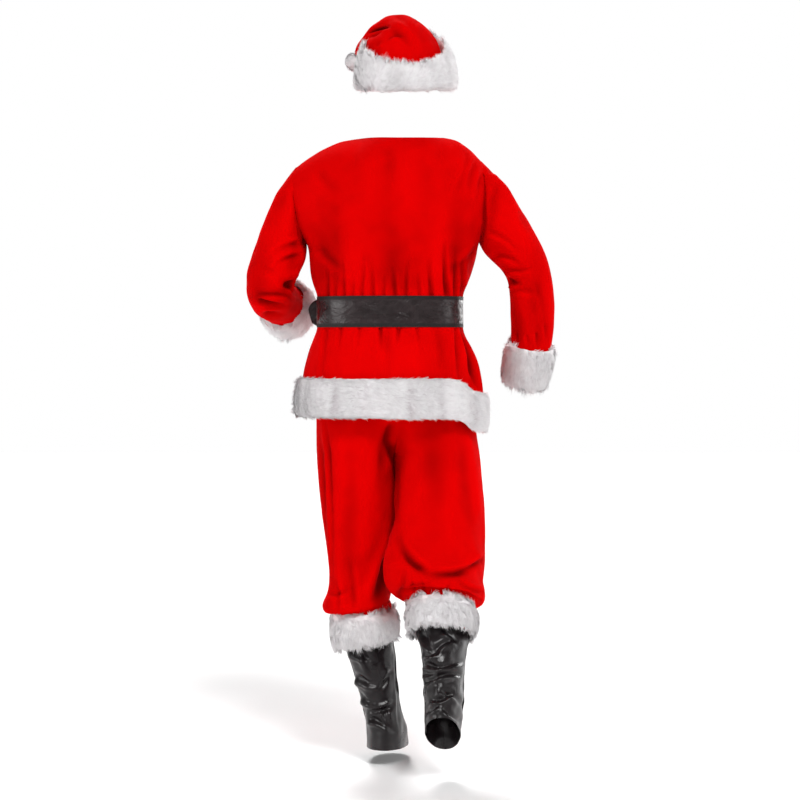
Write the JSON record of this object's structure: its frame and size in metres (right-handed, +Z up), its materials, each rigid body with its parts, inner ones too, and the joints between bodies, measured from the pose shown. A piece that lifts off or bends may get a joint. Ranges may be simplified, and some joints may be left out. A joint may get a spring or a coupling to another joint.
{
  "type": "santa suit",
  "caption": "Red plush santa suit with white fur trim: hat, belted jacket, trousers and boot covers, hollow and open, in the pose of a walking wearer.",
  "frame": {"origin": "middle of the neck opening, where the wearer's neck and shoulders hold the suit; the floor the wearer walks on is 1.5 m below", "axes": "+Z up; the wearer faces -Y and the wearer's left is +X"},
  "size_m": [0.765, 0.5499, 1.8086],
  "materials": {
    "plush": "red short-pile polyester plush",
    "fur": "white long-pile faux fur",
    "leather": "black-brown imitation leather, glossy and creased",
    "vinyl": "thin black-brown vinyl, glossy and wrinkled",
    "brass": "polished brass"
  },
  "bodies": {
    "root": {"hat_back": "plush", "hat_front": "plush", "hat_fur_band": "fur", "hat_pompom": "fur", "jacket_back": "plush", "jacket_front_left": "plush", "jacket_front_right": "plush", "sleeve_left": "plush", "sleeve_right": "plush", "sleeve_fur_left": "fur", "sleeve_fur_right": "fur", "hem_fur_back": "fur", "hem_fur_front_left": "fur", "hem_fur_front_right": "fur", "belt_strap": "leather", "belt_buckle": "brass", "waistband": "plush", "trouser_back_left": "plush", "trouser_front_left": "plush", "trouser_back_right": "plush", "trouser_front_right": "plush", "leg_fur_left": "fur", "leg_fur_right": "fur", "boot_back_left": "vinyl", "boot_front_left": "vinyl", "boot_back_right": "vinyl", "boot_front_right": "vinyl"}
  },
  "joints": []
}
